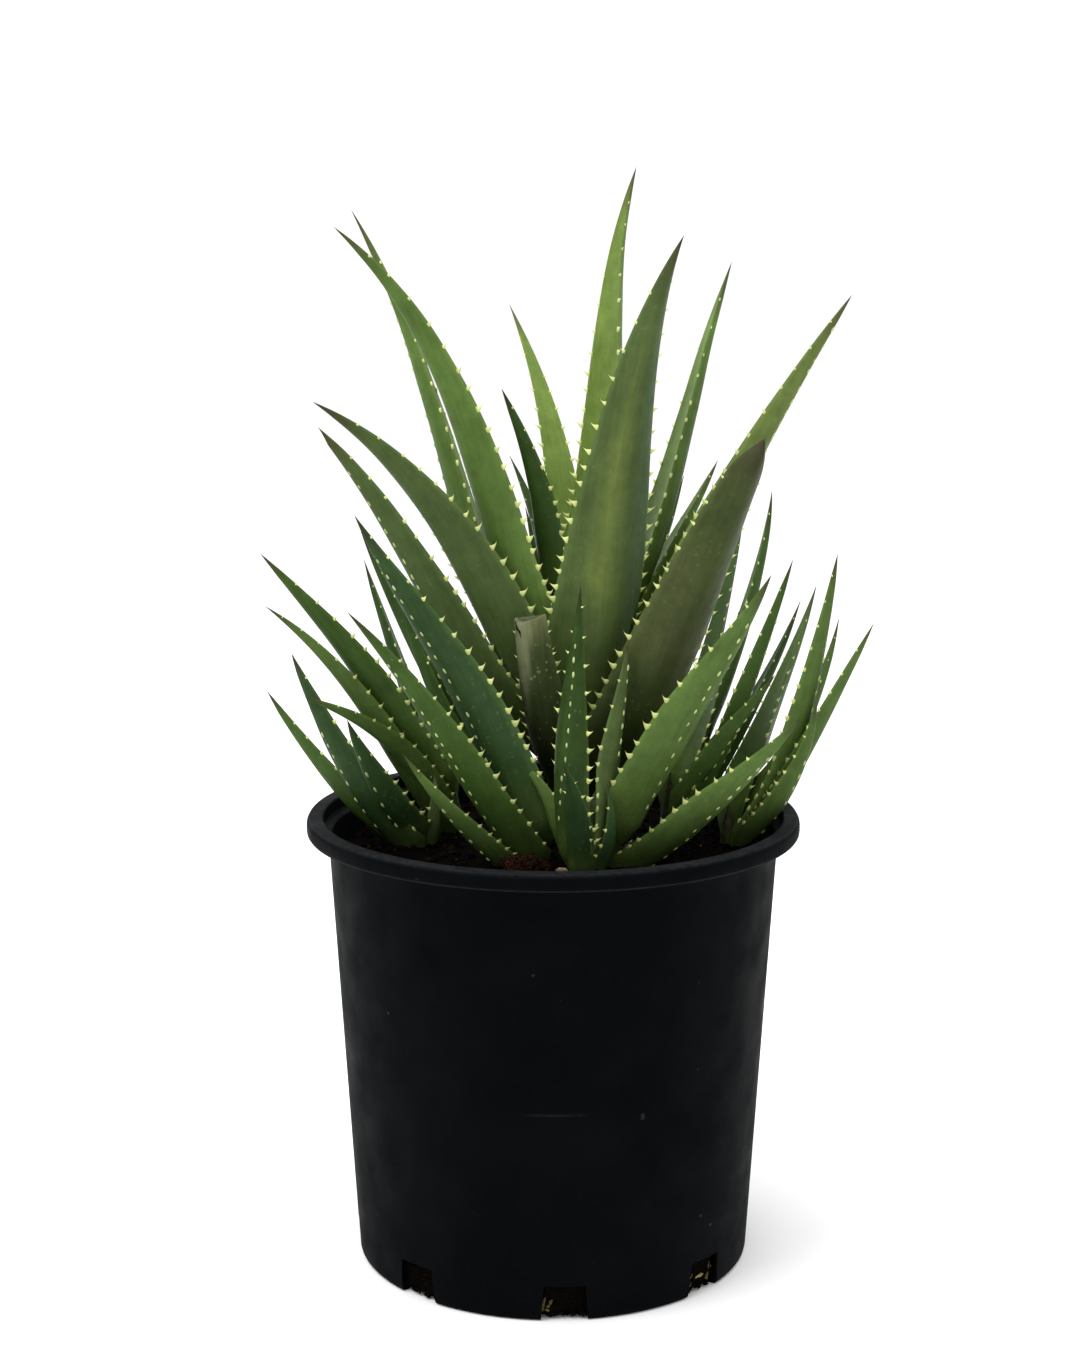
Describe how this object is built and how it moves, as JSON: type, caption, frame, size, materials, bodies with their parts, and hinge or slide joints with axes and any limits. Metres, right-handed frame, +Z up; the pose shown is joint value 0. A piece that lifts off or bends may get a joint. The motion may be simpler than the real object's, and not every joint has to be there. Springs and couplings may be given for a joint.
{
  "type": "potted aloe plant",
  "caption": "Aloe with a tall rosette of toothed fleshy leaves, a cut leaf stub and a crowd of offsets, in a tapered black plastic nursery pot with drainage slots.",
  "frame": {"origin": "centre of the pot's flat base, where it stands", "axes": "+Z up along the pot's axis, -Y the front of the plant, +X to the right seen from the front"},
  "size_m": [0.2484, 0.2, 0.4418],
  "materials": {
    "pot_plastic": "black moulded polypropylene, satin, lightly scuffed",
    "potting_mix": "damp dark potting mix with bark crumbs",
    "stem": "pale green fleshy stem with dry leaf scars",
    "rosette_leaf": "waxy grey-green fleshy leaf with cream marginal teeth",
    "offset_leaf": "darker waxy green leaf with pale bumps and cream teeth",
    "dry_leaf": "dried olive-tan leaf with a pale cut end",
    "bark": "red-brown fibrous bark, rough",
    "root": "yellow-brown fleshy root"
  },
  "bodies": {
    "root": {"pot": "pot_plastic", "potting_mix": "potting_mix", "main_stem": "stem", "offset_crown_left_front": "stem", "offset_crown_left_far": "stem", "offset_crown_left_back": "stem", "offset_crown_front": "stem", "offset_crown_right_front": "stem", "offset_crown_right_mid": "stem", "offset_crown_right_far": "stem", "leaf_main_01": "rosette_leaf", "leaf_main_02": "rosette_leaf", "leaf_main_stub": "dry_leaf", "leaf_main_03": "rosette_leaf", "leaf_main_04": "rosette_leaf", "leaf_main_15": "rosette_leaf", "leaf_main_05": "rosette_leaf", "leaf_main_06": "rosette_leaf", "leaf_main_07": "rosette_leaf", "leaf_main_08": "rosette_leaf", "leaf_main_09": "rosette_leaf", "leaf_main_10": "rosette_leaf", "leaf_main_11": "rosette_leaf", "leaf_main_12": "rosette_leaf", "leaf_main_13": "rosette_leaf", "leaf_main_14": "rosette_leaf", "leaf_left_01": "offset_leaf", "leaf_left_02": "offset_leaf", "leaf_left_03": "offset_leaf", "leaf_left_04": "offset_leaf", "leaf_left_05": "offset_leaf", "leaf_left_06": "offset_leaf", "leaf_left_07": "offset_leaf", "leaf_left_08": "offset_leaf", "leaf_left_09": "offset_leaf", "leaf_left_10": "offset_leaf", "leaf_left_11": "offset_leaf", "leaf_left_12": "offset_leaf", "leaf_left_13": "offset_leaf", "leaf_front_01": "offset_leaf", "leaf_front_02": "offset_leaf", "leaf_front_03": "offset_leaf", "leaf_front_04": "offset_leaf", "leaf_front_05": "offset_leaf", "leaf_right_01": "offset_leaf", "leaf_right_02": "offset_leaf", "leaf_right_03": "offset_leaf", "leaf_right_04": "offset_leaf", "leaf_right_05": "offset_leaf", "leaf_right_06": "offset_leaf", "leaf_right_07": "offset_leaf", "leaf_right_08": "offset_leaf", "leaf_right_09": "offset_leaf", "leaf_right_10": "offset_leaf", "leaf_right_11": "offset_leaf", "leaf_right_12": "offset_leaf", "leaf_right_13": "offset_leaf", "bark_mound": "bark", "dried_stub": "bark", "slot_root": "root"}
  },
  "joints": []
}
